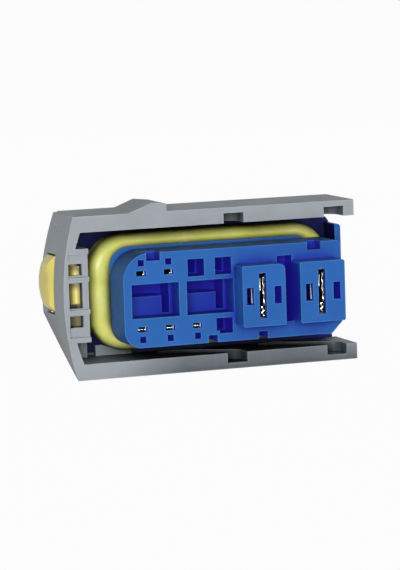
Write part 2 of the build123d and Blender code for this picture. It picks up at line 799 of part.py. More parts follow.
# The rear cover carries the wire seals in bores that are open to the housing, and leaves a
# narrower way out for each wire. The seals go in before it is pressed on.
with BuildPart() as rear_cover:
    cover_width = flange_width - 2 * rear_inset
    cover_height = flange_height - rear_inset
    with BuildSketch(upright(rear_front_y)):
        with Locations((flange_middle_x, 0)):
            RectangleRounded(cover_width, cover_height, flange_radius)
    extrude(amount=-seal_bore_depth)
    with BuildSketch(upright(rear_front_y + seal_bore_depth)):
        with Locations((flange_middle_x, 0)):
            RectangleRounded(
                cover_width - rear_cover_inset, cover_height - rear_cover_inset, flange_radius
            )
    extrude(amount=-rear_cover_thickness)
    chamfer(rear_cover.faces().sort_by(Axis.Y)[-1].outer_wire().edges(), rear_cover_chamfer)
    with BuildSketch(upright(rear_front_y)):
        for x, z, radius, _ in signal_seals + power_seals:
            with Locations((x, z)):
                Circle(radius + curve_gap)
    extrude(amount=-seal_bore_depth, mode=Mode.SUBTRACT)
    with BuildSketch(upright(rear_front_y + seal_bore_depth)):
        for x, z, _, bore in signal_seals + power_seals:
            with Locations((x, z)):
                Circle(bore + wire_exit_margin)
    extrude(amount=-rear_cover_thickness, mode=Mode.SUBTRACT)
rear_cover.part.label = "rear_cover"
export_step(rear_cover.part, "parts/rear_cover.step")
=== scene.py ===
"""Looks of a sealed automotive connector: blue housing, grey slide lock, yellow seal and lock.
Sizes and places are in metres, as the frame's are, unless a name ends in _mm."""

import math

import bmesh
import bpy
import numpy as np
from mathutils import Matrix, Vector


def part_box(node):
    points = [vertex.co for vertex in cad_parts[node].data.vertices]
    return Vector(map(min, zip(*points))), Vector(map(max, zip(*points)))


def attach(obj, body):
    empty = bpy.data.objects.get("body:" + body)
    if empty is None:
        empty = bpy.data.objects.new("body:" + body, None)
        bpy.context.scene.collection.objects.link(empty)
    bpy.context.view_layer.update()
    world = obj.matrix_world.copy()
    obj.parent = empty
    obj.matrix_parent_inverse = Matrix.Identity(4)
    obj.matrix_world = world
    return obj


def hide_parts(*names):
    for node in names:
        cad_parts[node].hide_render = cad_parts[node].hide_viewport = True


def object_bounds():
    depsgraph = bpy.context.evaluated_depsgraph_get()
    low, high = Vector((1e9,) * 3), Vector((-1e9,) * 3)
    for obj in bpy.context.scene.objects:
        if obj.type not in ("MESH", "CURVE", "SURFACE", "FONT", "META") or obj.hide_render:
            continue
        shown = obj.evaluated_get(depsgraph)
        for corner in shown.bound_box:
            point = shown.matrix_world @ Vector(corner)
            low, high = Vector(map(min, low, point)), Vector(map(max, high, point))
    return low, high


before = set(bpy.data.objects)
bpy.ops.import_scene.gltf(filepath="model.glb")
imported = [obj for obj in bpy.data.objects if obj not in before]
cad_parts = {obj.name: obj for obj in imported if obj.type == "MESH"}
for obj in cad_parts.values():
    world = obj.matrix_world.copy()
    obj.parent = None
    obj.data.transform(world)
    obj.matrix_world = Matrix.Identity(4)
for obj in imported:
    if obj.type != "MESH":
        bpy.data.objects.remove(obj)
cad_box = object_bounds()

# Housing, front cover and rear cover: glass-filled PBT polyester, injection moulded in steel
# tools. The front cover snaps over the housing's nose and the rear cover over its wire side.
# Painted shade: recesses darken by how near their walls are
recess_reach = 0.006  # how far off a wall still darkens the bottom of a recess


def linear(code):
    """Linear colour of an sRGB hex code, each channel through the sRGB curve."""
    channels = [int(code[place:place + 2], 16) / 255 for place in (1, 3, 5)]
    curve = [c / 12.92 if c <= 0.04045 else ((c + 0.055) / 1.055) ** 2.4 for c in channels]
    return (*curve, 1.0)


def new_material(name):
    """An empty node material: gives the material, its tree and its output node."""
    material = bpy.data.materials.new(name)
    material.use_nodes = True
    tree = material.node_tree
    tree.nodes.clear()
    return material, tree, tree.nodes.new("ShaderNodeOutputMaterial")


def add_node(tree, kind, inputs=None, **settings):
    """Adds one node: settings are its properties, inputs its sockets' values or links."""
    node = tree.nodes.new(kind)
    for name, value in settings.items():
        setattr(node, name, value)
    for name, value in (inputs or {}).items():
        socket = node.inputs[name]
        if isinstance(value, bpy.types.NodeSocket):
            tree.links.new(value, socket)
        else:
            socket.default_value = value
    return node


def colour_steps(tree, factor, steps):
    """A colour ramp over factor: steps are (place, hex code) pairs."""
    ramp = add_node(tree, "ShaderNodeValToRGB", {"Fac": factor})
    stops = ramp.color_ramp.elements
    while len(stops) < len(steps):
        stops.new(0.5)
    for stop, (place, code) in zip(stops, steps):
        stop.position = place
        stop.color = linear(code)
    return ramp.outputs["Color"]


def painted_top_shade(tree, tone):
    """Painted shade on upward faces: a factor that falls from 1 on upright faces to tone on upward
    ones.
    """
    facing = add_node(tree, "ShaderNodeNewGeometry").outputs["Normal"]
    upward = add_node(tree, "ShaderNodeSeparateXYZ", {"Vector": facing}).outputs["Z"]
    dulling = add_node(
        tree,
        "ShaderNodeMapRange",
        {"Value": upward, "From Min": 0.1, "From Max": 1.0, "To Min": 1.0, "To Max": tone},
    )
    return dulling.outputs["Result"]


def moulded_plastic(
    name, steps, edge_tone, roughness, grain_mm, lit_x_mm=None, fade_mm=None, painted_glow=None
):
    """Moulded plastic: painted shade deepens its colour in recesses by steps, and a painted edge
    highlight, partly wear, pales its open edges; over it lie flow clouds, painted shade on upward
    faces and a spark-eroded grain. Left of lit_x_mm the painted shade in recesses is lifted, as by
    light from the left, an effect that grows over fade_mm. Deep recesses get a painted glow of the
    tone painted_glow, standing in for light scattered in the plastic."""
    top_shade_tone = 0.66
    material, tree, output = new_material(name)
    place = add_node(tree, "ShaderNodeTexCoord").outputs["Object"]
    # Painted shade: the colour darkens by steps where walls are near
    hollow = add_node(
        tree, "ShaderNodeAmbientOcclusion", {"Distance": recess_reach}, samples=12
    )
    openness = hollow.outputs["AO"]
    # Painted light: left of lit_x_mm the painted shade in recesses is lifted
    if lit_x_mm is not None:
        lift = add_node(
            tree,
            "ShaderNodeMapRange",
            {
                "Value": add_node(tree, "ShaderNodeSeparateXYZ", {"Vector": place}).outputs["X"],
                "From Min": (lit_x_mm - fade_mm) / 1000,
                "From Max": lit_x_mm / 1000,
                "To Min": 0.4,
                "To Max": 0.0,
            },
        )
        lifted = add_node(
            tree, "ShaderNodeMath", {0: openness, 1: lift.outputs["Result"]}, operation="ADD"
        )
        openness = lifted.outputs[0]
    # Looked at from inside the wall, only an outer edge is near, so this finds the edges
    edge_reach = 0.00035
    inside = add_node(
        tree, "ShaderNodeAmbientOcclusion", {"Distance": edge_reach}, samples=8, inside=True
    )
    # Painted edge highlight, partly wear: open edges pale towards edge_tone, not those in recesses
    edge_wear_and_highlight = add_node(
        tree,
        "ShaderNodeMapRange",
        {
            "Value": inside.outputs["AO"],
            "From Min": 0.2,
            "From Max": 0.9,
            "To Min": 0.7,
            "To Max": 0.0,
        },
    )
    pale_edge = add_node(
        tree,
        "ShaderNodeMath",
        {0: edge_wear_and_highlight.outputs["Result"], 1: hollow.outputs["AO"]},
        operation="MULTIPLY",
    )
    pale = add_node(
        tree,
        "ShaderNodeMix",
        {
            "Factor": pale_edge.outputs[0],
            "A": colour_steps(tree, openness, steps),
            "B": linear(edge_tone),
        },
        data_type="RGBA",
    )
    # Flow clouds show where the melt cooled unevenly, in tone and in gloss
    cloud_mm = 5.88
    cloud = add_node(
        tree, "ShaderNodeTexNoise", {"Vector": place, "Scale": 1000 / cloud_mm, "Detail": 3.0}
    ).outputs["Fac"]
    clouded = add_node(
        tree,
        "ShaderNodeMapRange",
        {"Value": cloud, "From Min": 0.3, "From Max": 0.7, "To Min": 0.94, "To Max": 1.06},
    )
    # Painted shade on upward faces, over the flow clouds
    clouded_and_top_shaded = add_node(
        tree,
        "ShaderNodeMath",
        {0: clouded.outputs["Result"], 1: painted_top_shade(tree, top_shade_tone)},
        operation="MULTIPLY",
    )
    tint = add_node(
        tree,
        "ShaderNodeHueSaturation",
        {"Color": pale.outputs["Result"], "Value": clouded_and_top_shaded.outputs[0]},
    )
    gloss = add_node(
        tree,
        "ShaderNodeMapRange",
        {
            "Value": cloud,
            "From Min": 0.3,
            "From Max": 0.7,
            "To Min": roughness - 0.05,
            "To Max": roughness + 0.05,
        },
    )
    # The real grain is about 0.05 mm wide; grain_mm is coarser, so that it shows
    grain = add_node(
        tree, "ShaderNodeTexNoise", {"Vector": place, "Scale": 1000 / grain_mm, "Detail": 2.0}
    )
    grain_depth_mm = grain_mm / 15
    bump = add_node(
        tree,
        "ShaderNodeBump",
        {"Height": grain.outputs["Fac"], "Strength": 0.35, "Distance": grain_depth_mm / 1000},
    )
    finish = {
        "Base Color": tint.outputs["Color"],
        "Roughness": gloss.outputs["Result"],
        "IOR": 1.55,
        "Specular IOR Level": 0.15,
        "Normal": bump.outputs["Normal"],
    }
    # A painted glow in deep recesses, standing in for light scattered in the plastic
    if painted_glow is not None:
        finish["Emission Color"] = colour_steps(tree, openness, [(0.0, painted_glow), (0.5, "#000000")])
        finish["Emission Strength"] = 1.0
    shader = add_node(tree, "ShaderNodeBsdfPrincipled", finish)
    tree.links.new(shader.outputs["BSDF"], output.inputs["Surface"])
    return material


def rounded_copy(node, name, edge_mm, material, body):
    """A merged copy of a CAD node, its sharp edges rounded by edge_mm as a tool's edges are."""
    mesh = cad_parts[node].data.copy()
    mesh.name = name
    shape = bmesh.new()
    shape.from_mesh(mesh)
    bmesh.ops.remove_doubles(shape, verts=shape.verts, dist=2e-6)
    bmesh.ops.dissolve_limit(
        shape, angle_limit=math.radians(0.4), verts=shape.verts, edges=shape.edges
    )
    shape.to_mesh(mesh)
    shape.free()
    mesh.materials.clear()
    mesh.materials.append(material)
    mesh.polygons.foreach_set("use_smooth", np.ones(len(mesh.polygons), bool))
    piece = bpy.data.objects.new(name, mesh)
    bpy.context.scene.collection.objects.link(piece)
    rounding = piece.modifiers.new("edge rounding", "BEVEL")
    rounding.width = edge_mm / 1000
    rounding.segments = 2
    rounding.limit_method = "ANGLE"
    rounding.angle_limit = math.radians(35)
    flat = piece.modifiers.new("flat faces", "WEIGHTED_NORMAL")
    flat.weight = 100
    flat.keep_sharp = True
    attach(piece, body)
    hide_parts(node)
    return piece


def face_values(mesh, name, width=1, kind=float):
    """A property of every face of a mesh: an array with width numbers for each face."""
    values = np.empty(len(mesh.polygons) * width, kind)
    mesh.polygons.foreach_get(name, values)
    return values.reshape(-1, width) if width > 1 else values


# Blue PBT with a satin spark-eroded finish: a soft sheen on open faces, painted shade of deep
# indigo in the pockets with a painted glow, painted less deep on the tower's left side
blue_pbt = moulded_plastic(
    "blue PBT, satin",
    [(0.0, "#1A148C"), (0.3, "#1E1E9C"), (0.58, "#2642B0"), (0.74, "#2C5EB0"), (1.0, "#306CBC")],
    edge_tone="#5CA0DC",
    roughness=0.5,
    grain_mm=0.18,
    lit_x_mm=-16.4,
    fade_mm=2.0,
    painted_glow="#0C0850",
)
# The same behind the seal, with painted shade that makes the corners almost black
painted_shade_blue_pbt = moulded_plastic(
    "blue PBT, satin, painted shade behind the seal",
    [(0.0, "#04050F"), (0.4, "#0C104A"), (0.7, "#2A45BC"), (1.0, "#326CBE")],
    edge_tone="#4C8CCB",
    roughness=0.5,
    grain_mm=0.18,
)
# The same round the tower's foot, a lit copy: painted light keeps the step there the face's blue
lit_copy_blue_pbt = moulded_plastic(
    "blue PBT, satin, painted as lit",
    [(0.0, "#1C3470"), (0.4, "#2A5A9C"), (0.8, "#306CBC")],
    edge_tone="#5CA0DC",
    roughness=0.5,
    grain_mm=0.18,
)
blue_edge_mm = 0.12
housing = rounded_copy(
    "housing", "housing_moulding", blue_edge_mm, blue_pbt, "plug"
)
front_cover = rounded_copy(
    "front_cover", "front_cover_moulding", blue_edge_mm, blue_pbt, "plug"
)
rounded_copy("rear_cover", "rear_cover_moulding", blue_edge_mm, blue_pbt, "plug")
# The nose, with its pockets, reaches back to this y; the seal hides the change of tone
nose_back = 0.009
# Faces behind the nose take the copy with darker painted shade
housing.data.materials.append(painted_shade_blue_pbt)
behind_seal = face_values(housing.data, "center", 3)[:, 1] > nose_back
housing.data.polygons.foreach_set("material_index", behind_seal.astype(np.int32))
# The step's faces are on the tower's outside and lie back from its front. Of the faces that look
# forward, all that are larger than a pocket's floor belong to it
tower_front_y, step_front_y = 0.0006, 0.0065
tower_top_z, tower_left_x = 0.0072, -0.0172
pocket_area = 0.00003
for moulding in (housing, front_cover):
    mesh = moulding.data
    middles = face_values(mesh, "center", 3)
    normals = face_values(mesh, "normal", 3)
    large = face_values(mesh, "area") > pocket_area
    forward_face = (normals[:, 1] < -0.9) & (middles[:, 1] > step_front_y) & large
    top_face = (normals[:, 2] > 0.7) & (middles[:, 2] > tower_top_z)
    left_face = (normals[:, 0] < -0.2) & (middles[:, 0] < tower_left_x)
    outside = forward_face | top_face | left_face
    on_step = outside & (middles[:, 1] > tower_front_y) & (middles[:, 1] < nose_back)
    # The step's faces take the lit copy, whose recesses are painted only a little darker
    finishes = face_values(mesh, "material_index", kind=np.int32)
    finishes[on_step] = len(mesh.materials)
    mesh.materials.append(lit_copy_blue_pbt)
    mesh.polygons.foreach_set("material_index", finishes)

# Perimeter seal: a ring of yellow-green silicone, moulded with two crowned lips and slipped over
# the housing's land, where it is squeezed by the header's shroud.
seal_low, seal_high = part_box("perimeter_seal")
land_gap = 0.00005
seal_end_thickness = 0.00375
seal_side_thickness = 0.0024
seal_inner_radius = 0.0034
seal_outer_radius = seal_inner_radius + seal_end_thickness


def ring_path(low_x, high_x, low_z, high_z, radius):
    """Points round a rounded rectangle: a quarter circle at each corner, then a straight side."""
    corner_points, side_points = 14, 26
    angles = np.linspace(0, math.pi / 2, corner_points)
    arc = np.stack([np.cos(angles), np.sin(angles)], 1) * radius
    quarter = np.array([[0.0, -1.0], [1.0, 0.0]])
    centres = np.array(
        [
            [high_x - radius, high_z - radius],
            [low_x + radius, high_z - radius],
            [low_x + radius, low_z + radius],
            [high_x - radius, low_z + radius],
        ]
    )
    turned = [arc @ np.linalg.matrix_power(quarter, turn).T + centres[turn] for turn in range(4)]
    share = np.linspace(0, 1, side_points + 2)[1:-1, None]
    sides = [turned[k][-1] * (1 - share) + turned[(k + 1) % 4][0] * share for k in range(4)]
    return np.concatenate([part for pair in zip(turned, sides) for part in pair])


def grid_faces(rows, columns):
    """Quads of a grid that is closed both ways, row by row."""
    row, column = np.meshgrid(np.arange(rows), np.arange(columns), indexing="ij")
    next_row, next_column = (row + 1) % rows, (column + 1) % columns
    corners = [
        row * columns + column,
        row * columns + next_column,
        next_row * columns + next_column,
        next_row * columns + column,
    ]
    return np.stack(corners, -1).reshape(-1, 4)


def surface_piece(name, points, faces, material, body, smooth=True):
    """Puts points and faces into a new mesh, turns its faces outwards and rides it on a body."""
    mesh = bpy.data.meshes.new(name)
    mesh.from_pydata(points.reshape(-1, 3).tolist(), [], faces.tolist())
    shape = bmesh.new()
    shape.from_mesh(mesh)
    bmesh.ops.recalc_face_normals(shape, faces=shape.faces)
    shape.to_mesh(mesh)
    shape.free()
    mesh.materials.append(material)
    mesh.polygons.foreach_set("use_smooth", np.full(len(mesh.polygons), smooth))
    piece = bpy.data.objects.new(name, mesh)
    bpy.context.scene.collection.objects.link(piece)
    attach(piece, body)
    return piece


def seal_profile():
    """Section of the seal: (share of its thickness, share of its length) pairs. The outside is a
    superellipse less a bell-shaped valley, which parts it into two lips; the inside is flat."""
    outside_points, inside_points = 34, 6
    shoulder_power, crown_power = 3.4, 2.2
    valley_depth, valley_place, valley_width = 0.16, 0.62, 0.085
    length = np.linspace(0, 1, outside_points)
    crown = (1 - np.abs(2 * length - 1) ** shoulder_power) ** (1 / crown_power)
    valley = valley_depth * np.exp(-(((length - valley_place) / valley_width) ** 2))
    outside = np.stack([np.clip(crown - valley, 0, 1), length], 1)
    inside_length = np.linspace(1, 0, inside_points + 2)[1:-1]
    inside = np.stack([np.zeros(inside_points), inside_length], 1)
    return np.concatenate([outside, inside])


outer_ring = ring_path(seal_low.x, seal_high.x, seal_low.z, seal_high.z, seal_outer_radius)
inner_ring = ring_path(
    seal_low.x + seal_end_thickness - land_gap,
    seal_high.x - seal_end_thickness + land_gap,
    seal_low.z + seal_side_thickness - land_gap,
    seal_high.z - seal_side_thickness + land_gap,
    seal_inner_radius,
)
section = seal_profile()
ring = inner_ring[None] + section[:, 0, None, None] * (outer_ring - inner_ring)[None]
depth = seal_low.y + section[:, 1] * (seal_high.y - seal_low.y)
ring_y = np.repeat(depth[:, None], ring.shape[1], 1)


def oiled_silicone(name, dark, light, roughness):
    """Silicone: slightly clear and clouded, with an oily gloss and a low wave in its skin. Painted
    shade darkens it where it faces up and in recesses."""
    cloud_mm, wave_mm, wave_height = 4.17, 2.38, 0.00012
    top_shade_tone = 0.45
    material, tree, output = new_material(name)
    place = add_node(tree, "ShaderNodeTexCoord").outputs["Object"]
    cloud = add_node(
        tree, "ShaderNodeTexNoise", {"Vector": place, "Scale": 1000 / cloud_mm, "Detail": 4.0}
    )
    clouded = colour_steps(tree, cloud.outputs["Fac"], [(0.3, dark), (0.7, light)])
    clouded_and_top_shaded = add_node(
        tree,
        "ShaderNodeHueSaturation",
        {"Color": clouded, "Value": painted_top_shade(tree, top_shade_tone)},
    )
    # Painted shade in recesses
    hollow = add_node(
        tree, "ShaderNodeAmbientOcclusion", {"Distance": recess_reach}, samples=12
    )
    shade = colour_steps(tree, hollow.outputs["AO"], [(0.15, "#26260F"), (0.53, "#FFFFFF")])
    shaded = add_node(
        tree,
        "ShaderNodeMix",
        {"Factor": 1.0, "A": clouded_and_top_shaded.outputs["Color"], "B": shade},
        data_type="RGBA",
        blend_type="MULTIPLY",
    )
    wave = add_node(
        tree, "ShaderNodeTexNoise", {"Vector": place, "Scale": 1000 / wave_mm, "Detail": 2.0}
    )
    bump = add_node(
        tree,
        "ShaderNodeBump",
        {"Height": wave.outputs["Fac"], "Strength": 0.3, "Distance": wave_height},
    )
    shader = add_node(
        tree,
        "ShaderNodeBsdfPrincipled",
        {
            "Base Color": shaded.outputs["Result"],
            "Roughness": roughness,
            "IOR": 1.41,
            "Subsurface Weight": 0.25,
            "Subsurface Radius": (1.0, 0.9, 0.3),
            "Subsurface Scale": 0.0008,
            "Specular IOR Level": 0.3,
            "Coat Weight": 0.2,
            "Coat Roughness": 0.2,
            "Normal": bump.outputs["Normal"],
        },
    )
    tree.links.new(shader.outputs["BSDF"], output.inputs["Surface"])
    return material


# Yellow-green silicone with self-bleeding oil: pale and soft, with a wet gleam along its lips
yellow_silicone = oiled_silicone(
    "yellow-green silicone, oiled", dark="#DEE06A", light="#F2F290", roughness=0.42
)
seal_ring = surface_piece(
    "perimeter_seal_ring",
    np.stack([ring[..., 0], ring_y, ring[..., 1]], -1),
    grid_faces(*ring_y.shape),
    yellow_silicone,
    "plug",
)
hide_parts("perimeter_seal")

# Slide: a U of grey glass-filled PBT, moulded in one with the ribbed box for the position lock
# in its closed end. It is pushed over the housing's rails from the left.

# Grey PBT, satin: pale on open faces, with painted shade that makes its grooves almost black,
# lifted towards its left end as by the light from the left
grey_pbt = moulded_plastic(
    "grey PBT, satin",
    [(0.0, "#040507"), (0.3, "#14181C"), (0.6, "#747B81"), (1.0, "#ABB2B7")],
    edge_tone="#C4CACC",
    roughness=0.52,
    grain_mm=0.2,
    lit_x_mm=-8.0,
    fade_mm=14.0,
)
slide_edge_mm = 0.14
rounded_copy("slide", "slide_moulding", slide_edge_mm, grey_pbt, "slide_lock")
rib_foot_z = -0.01139  # a hair above the lower arm's upper face, so as not to share its plane


def arm_rib(name, x, top_z, front_y, back_y):
    """A low wall along the lower arm: a rectangular section whose top follows top_z over x."""
    x, top_z = np.array(x), np.array(top_z)
    foot_z = np.full(len(x), rib_foot_z)
    depth = np.repeat([[front_y, back_y, back_y, front_y]], len(x), 0)
    points = np.stack(
        [np.repeat(x[:, None], 4, 1), depth, np.stack([foot_z, foot_z, top_z, top_z], 1)], -1
    )
    row, column = np.meshgrid(np.arange(len(x) - 1), np.arange(4), indexing="ij")
    first, beside = 4 * row + column, 4 * row + (column + 1) % 4
    walls = np.stack([first, beside, beside + 4, first + 4], -1).reshape(-1, 4)
    ends = np.array([np.arange(4), 4 * (len(x) - 1) + np.arange(4)])
    surface_piece(
        name,
        points,
        np.concatenate([walls, ends]),
        grey_pbt,
        "slide_lock",
        smooth=False,
    )


# A short rib closes the gap to the flange behind the web
arm_rib(
    "slide_gap_rib",
    x=(-0.0245, -0.0213),
    top_z=(-0.01095, -0.01095),
    front_y=0.0140,
    back_y=0.0146,
)
# A low ledge stands in front of the flange; its top keeps clear of the seal's corner
arm_rib(
    "slide_inner_ledge",
    x=(-0.0217, -0.0206, -0.0180, -0.0152),
    top_z=(-0.0095, -0.0095, -0.01045, -0.01045),
    front_y=0.0122,
    back_y=0.0129,
)

# Position lock: a button and a bar of yellow unfilled PBT, moulded in one and clipped into the
# box in the slide's end. The button is pressed once the slide is closed.

# Yellow PBT, glossy: without glass fibre it keeps the tool's polish, and gleams; painted shade
# browns it in recesses
yellow_pbt = moulded_plastic(
    "yellow PBT, glossy",
    [(0.0, "#5A3F0A"), (0.3, "#D0A82C"), (0.62, "#E8D458"), (1.0, "#FCEC88")],
    edge_tone="#F0E8A8",
    roughness=0.22,
    grain_mm=0.1,
)
lock_edge_mm = 0.15
lock = rounded_copy(
    "position_lock",
    "position_lock_moulding",
    lock_edge_mm,
    yellow_pbt,
    "lock_button",
)
# The button's upper and lower ends are rounded off: from this share of its half height on, they
# fall back below the slide's end, by the power 1.5 of the way to the end
button_root_x, button_middle_z, button_half_height = -0.0299, 0.00205, 0.00495
round_start, round_depth, round_power = 0.7, 0.0005, 1.5
corners = np.empty(len(lock.data.vertices) * 3)
lock.data.vertices.foreach_get("co", corners)
corners = corners.reshape(-1, 3)
height_share = np.abs(corners[:, 2] - button_middle_z) / button_half_height
to_end = np.clip((height_share - round_start) / (1 - round_start), 0, 1)
on_button = corners[:, 0] < button_root_x
corners[:, 0] += np.where(on_button, round_depth * to_end**round_power, 0)
lock.data.vertices.foreach_set("co", corners.ravel())


def sheet_grid(along, across):
    """Two parameters over an open grid, each evenly spaced from (start, end, count)."""
    return np.meshgrid(np.linspace(*along), np.linspace(*across), indexing="ij")


def sheet_faces(rows, columns):
    """Quads of an open grid, row by row."""
    row, column = np.meshgrid(np.arange(rows - 1), np.arange(columns - 1), indexing="ij")
    first = row * columns + column
    return np.stack([first, first + 1, first + columns + 1, first + columns], -1).reshape(-1, 4)


def sheet_wall(sheet, wall_mm, offset):
    """Gives a sheet its thickness: offset 0 is half on each side, -1 all of it behind."""
    wall = sheet.modifiers.new("sheet thickness", "SOLIDIFY")
    wall.thickness = wall_mm / 1000
    wall.offset = offset


# The dished face of the lock's bar shows in the box's windows
bar_left_x, bar_right_x = -0.0287, -0.02645
bar_low_z, bar_high_z = -0.0050, 0.0056
bar_front_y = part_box("position_lock")[0].y - 0.00024
bar_dish = 0.00028
# Yellow PBT, with a painted highlight right of its middle, painted shade at its sides and a painted
# shadow as a dark notch behind the middle window's foot: one ramp goes across, the other up along
# it
bar_pbt, bar_tree, bar_output = new_material("yellow PBT, painted highlight and shade")
bar_place = add_node(bar_tree, "ShaderNodeTexCoord").outputs["Object"]
bar_axes = add_node(bar_tree, "ShaderNodeSeparateXYZ", {"Vector": bar_place})
bar_across = add_node(
    bar_tree,
    "ShaderNodeMapRange",
    {"Value": bar_axes.outputs["X"], "From Min": bar_left_x, "From Max": bar_right_x},
)
bar_along = add_node(
    bar_tree,
    "ShaderNodeMapRange",
    {"Value": bar_axes.outputs["Z"], "From Min": bar_low_z, "From Max": bar_high_z},
)
painted_highlight_across = colour_steps(
    bar_tree,
    bar_across.outputs["Result"],
    [(0.1, "#3E3008"), (0.3, "#94801C"), (0.5, "#E8D458"), (0.64, "#FFF8BC"), (0.8, "#D8C038"),
     (0.97, "#4A3408")],
)
# Painted shade and painted shadow up along the bar
shaded = colour_steps(
    bar_tree,
    bar_along.outputs["Result"],
    [(0.2, "#707070"), (0.28, "#101010"), (0.36, "#101010"), (0.39, "#FFFFFF"), (0.58, "#FFFFFF"),
     (0.68, "#8C8C8C"), (0.86, "#FFFFFF"), (0.95, "#A0A0A0")],
)
bar_tone = add_node(
    bar_tree,
    "ShaderNodeMix",
    {"Factor": 1.0, "A": painted_highlight_across, "B": shaded},
    data_type="RGBA",
    blend_type="MULTIPLY",
)
bar_shader = add_node(
    bar_tree,
    "ShaderNodeBsdfPrincipled",
    {"Base Color": bar_tone.outputs["Result"], "Roughness": 0.2, "IOR": 1.55},
)
bar_tree.links.new(bar_shader.outputs["BSDF"], bar_output.inputs["Surface"])
# Its depth is a parabola across, its outline a rectangle
across, height = sheet_grid((0, 1, 17), (0, 1, 41))
bar_x = bar_left_x + (bar_right_x - bar_left_x) * across
bar_y = bar_front_y + bar_dish * (1 - (2 * across - 1) ** 2)
bar_z = bar_low_z + (bar_high_z - bar_low_z) * height
bar_face = surface_piece(
    "lock_bar_face",
    np.stack([bar_x, bar_y, bar_z], -1),
    sheet_faces(*across.shape),
    bar_pbt,
    "lock_button",
)
sheet_wall(bar_face, wall_mm=0.2, offset=0.0)

# Contacts and sleeves: tin and silver plated copper alloy, and stainless strip, all stamped and
# folded, so the metal has fine rolling lines along the contact.


def rolled_metal(name, steps, roughness, line_mm):
    """Plated strip: rolling lines along Y stretch a noise, soft plating clouds vary the gloss, and
    painted shade darkens the tone by steps inside a box."""
    box_reach, cloud_mm, line_height = 0.002, 1.11, 0.00001
    material, tree, output = new_material(name)
    place = add_node(tree, "ShaderNodeTexCoord").outputs["Object"]
    hollow = add_node(tree, "ShaderNodeAmbientOcclusion", {"Distance": box_reach}, samples=12)
    drawn = add_node(tree, "ShaderNodeMapping", {"Vector": place, "Scale": (1.0, 0.06, 1.0)})
    # Real rolling lines are about 0.01 mm wide; line_mm is coarser, so that they show
    lines = add_node(
        tree,
        "ShaderNodeTexNoise",
        {"Vector": drawn.outputs["Vector"], "Scale": 1000 / line_mm, "Detail": 2.0},
    )
    bump = add_node(
        tree,
        "ShaderNodeBump",
        {"Height": lines.outputs["Fac"], "Strength": 0.4, "Distance": line_height},
    )
    cloud = add_node(tree, "ShaderNodeTexNoise", {"Vector": place, "Scale": 1000 / cloud_mm})
    gloss = add_node(
        tree,
        "ShaderNodeMapRange",
        {"Value": cloud.outputs["Fac"], "To Min": roughness * 0.8, "To Max": roughness * 1.2},
    )
    shader = add_node(
        tree,
        "ShaderNodeBsdfPrincipled",
        {
            "Base Color": colour_steps(tree, hollow.outputs["AO"], steps),
            "Metallic": 1.0,
            "Roughness": gloss.outputs["Result"],
            "Normal": bump.outputs["Normal"],
        },
    )
    tree.links.new(shader.outputs["BSDF"], output.inputs["Surface"])
    return material


def dress(node, material):
    """Gives a CAD node's own solid a finish."""
    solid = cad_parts[node].data
    solid.materials.clear()
    solid.materials.append(material)


# Matt tin: a soft grey-white gleam, with painted shade inside the signal boxes
tin_plate = rolled_metal(
    "tin plate, matt", [(0.1, "#15161A"), (0.8, "#D9D8D2")], roughness=0.32, line_mm=0.08
)
# Silver: the warmer and glossier tone of the power boxes, with painted shade inside
silver_plate = rolled_metal(
    "silver plate, painted shade inside",
    [(0.1, "#101114"), (0.8, "#E6E2D6")],
    roughness=0.22,
    line_mm=0.08,
)
# Burnished silver: rubbed bright along the rolled front edges, which catch the light in the slits
bright_silver = rolled_metal(
    "silver plate, burnished", [(0.0, "#D8D8DA"), (1.0, "#F4F3EE")], roughness=0.16, line_mm=0.08
)
# Bright stainless strip: a cooler and darker grey than the plating, with painted shade inside
spring_steel = rolled_metal(
    "stainless strip, bright", [(0.1, "#1A1C20"), (0.8, "#C4C7CB")], roughness=0.28, line_mm=0.06
)
signal_numbers, power_numbers = range(1, 6), range(1, 3)
for number in signal_numbers:
    dress(f"signal_contact_{number}", tin_plate)
for number in power_numbers:
    dress(f"power_contact_{number}", silver_plate)
    dress(f"power_sleeve_{number}", spring_steel)


def strip_piece(name, x, y, z, sheet_mm):
    """A thin strip of bright silver plate from grids of x, y and z in metres, sheet_mm thick."""
    strip = surface_piece(
        name, np.stack([x, y, z], -1), sheet_faces(*x.shape), bright_silver, "plug"
    )
    sheet_wall(strip, sheet_mm, offset=-1.0)


def front_middle(node):
    """The middle of the front of a CAD node's box: its x, y and z."""
    low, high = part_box(node)
    return (low.x + high.x) / 2, low.y, (low.z + high.z) / 2


# Lips: the folded front edge of each signal box shows low in its slit. A lip comes forward and
# rises a little from left to right, its face crowned as a parabola, and ends in a short upright.
lip_left_x, lip_length, lip_width, lip_sheet_mm = -0.00078, 0.00145, 0.00013, 0.03
lip_back_y, lip_forward, lip_rise, lip_crown = 0.00015, 0.0005, 0.00012, 0.0002
upright_x, upright_y, upright_z = 0.0007, -0.00035, -0.00002
upright_half_height, upright_width, upright_lean = 0.0004, 0.0001, 0.00006
for number in signal_numbers:
    contact_x, front_y, contact_z = front_middle(f"signal_contact_{number}")
    # In the upper row only the right-hand fifth of the lip shows, and it lies lower
    lip_start, lip_z = (0.8, -0.00030) if contact_z > 0 else (0.0, -0.00012)
    along, across = sheet_grid((lip_start, 1, 40), (-0.5, 0.5, 7))
    strip_piece(
        f"signal_lip_{number}",
        contact_x + lip_left_x + lip_length * along,
        front_y + lip_back_y - lip_forward * along + lip_crown * across**2,
        contact_z + lip_z + lip_rise * (along - 0.5) + lip_width * across,
        lip_sheet_mm,
    )
    along, across = sheet_grid((-1, 1, 24), (-0.5, 0.5, 7))
    strip_piece(
        f"signal_lip_end_{number}",
        contact_x + upright_x + upright_width * across,
        front_y + upright_y - upright_lean * across,
        contact_z + upright_z + upright_half_height * along,
        lip_sheet_mm,
    )

